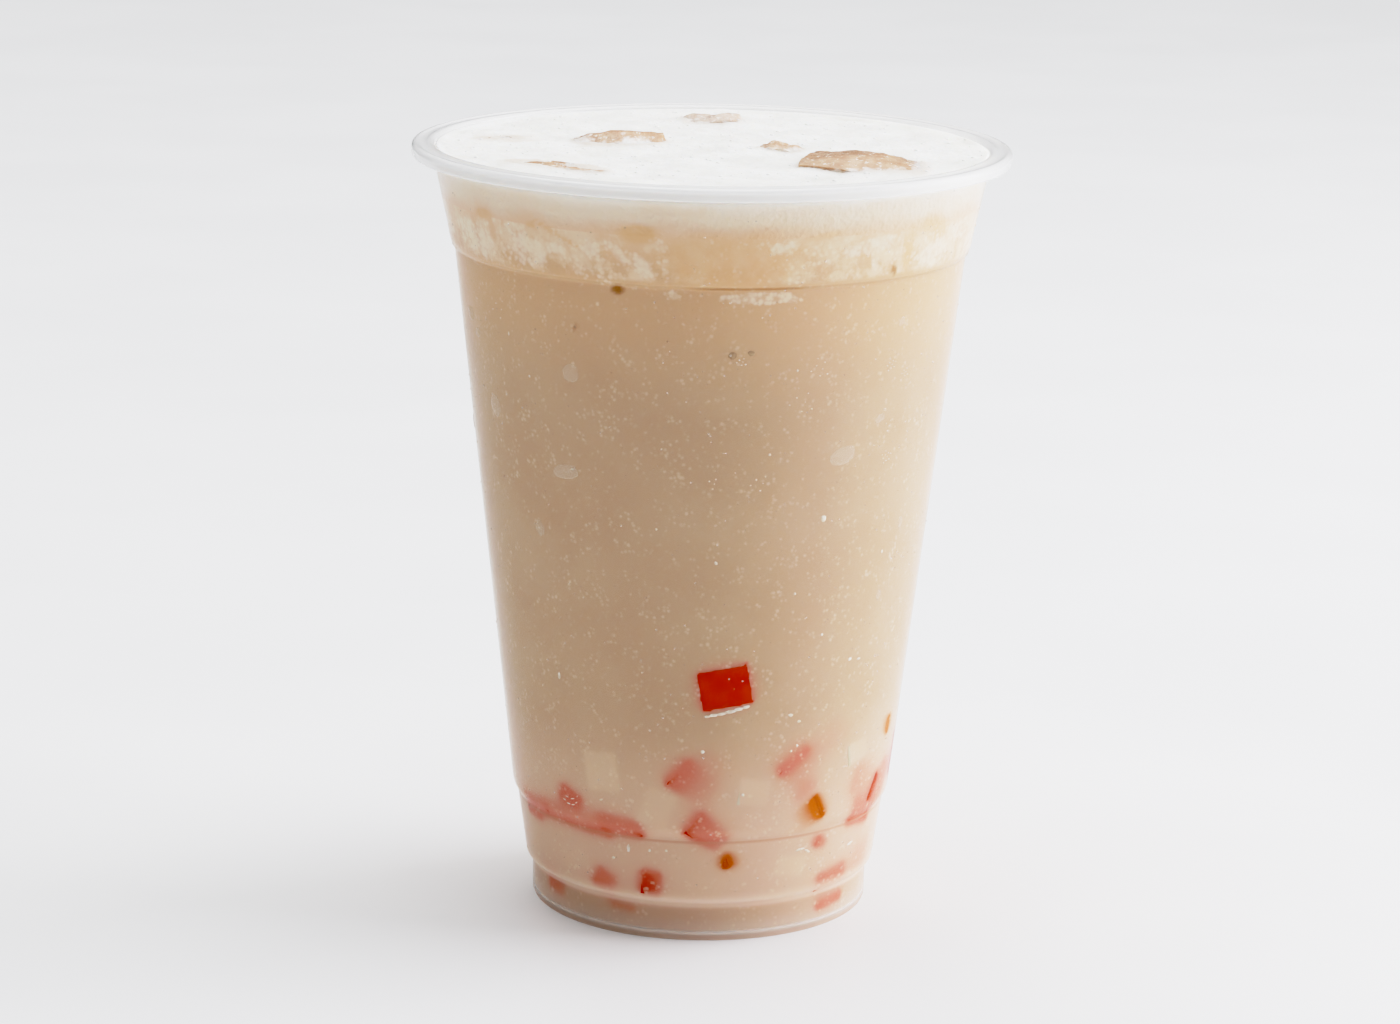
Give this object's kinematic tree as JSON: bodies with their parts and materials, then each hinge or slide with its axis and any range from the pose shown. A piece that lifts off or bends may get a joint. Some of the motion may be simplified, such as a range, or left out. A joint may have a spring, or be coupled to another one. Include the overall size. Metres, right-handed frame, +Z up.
{
  "type": "bubble tea",
  "caption": "Clear plastic cup brim full of milk tea under white froth, with wet ice lumps and cubes of red, orange and pale fruit jelly.",
  "frame": {"origin": "on the floor under the middle of the cup", "axes": "+Z up the cup's axis; -Y is the side that the picture shows; +X is its right"},
  "size_m": [0.0936, 0.0936, 0.1228],
  "materials": {
    "clear_plastic": "thin clear plastic, slightly milky, with fine drops of water outside",
    "milk_tea": "smooth cloudy beige milk tea",
    "froth": "white froth of fine bubbles",
    "wet_ice": "wet melting ice, tan with the tea around it",
    "red_jelly": "clear red fruit jelly",
    "orange_jelly": "clear orange fruit jelly",
    "pale_jelly": "pale cloudy fruit jelly"
  },
  "bodies": {
    "root": {"cup": "clear_plastic", "milk_tea": "milk_tea", "froth": "froth", "ice_1": "wet_ice", "ice_2": "wet_ice", "ice_3": "wet_ice", "ice_4": "wet_ice", "ice_5": "wet_ice", "ice_6": "wet_ice", "ice_7": "wet_ice", "ice_8": "wet_ice", "ice_9": "wet_ice", "ice_10": "wet_ice", "red_jelly_1": "red_jelly", "red_jelly_2": "red_jelly", "red_jelly_3": "red_jelly", "red_jelly_4": "red_jelly", "red_jelly_5": "red_jelly", "red_jelly_6": "red_jelly", "red_jelly_7": "red_jelly", "red_jelly_8": "red_jelly", "red_jelly_9": "red_jelly", "red_jelly_10": "red_jelly", "red_jelly_11": "red_jelly", "red_jelly_12": "red_jelly", "red_jelly_13": "red_jelly", "red_jelly_14": "red_jelly", "red_jelly_15": "red_jelly", "red_jelly_16": "red_jelly", "red_jelly_17": "red_jelly", "orange_jelly_1": "orange_jelly", "orange_jelly_2": "orange_jelly", "orange_jelly_3": "orange_jelly", "orange_jelly_4": "orange_jelly", "orange_jelly_5": "orange_jelly", "pale_jelly_1": "pale_jelly", "pale_jelly_2": "pale_jelly", "pale_jelly_3": "pale_jelly", "pale_jelly_4": "pale_jelly", "pale_jelly_5": "pale_jelly", "pale_jelly_6": "pale_jelly"}
  },
  "joints": []
}
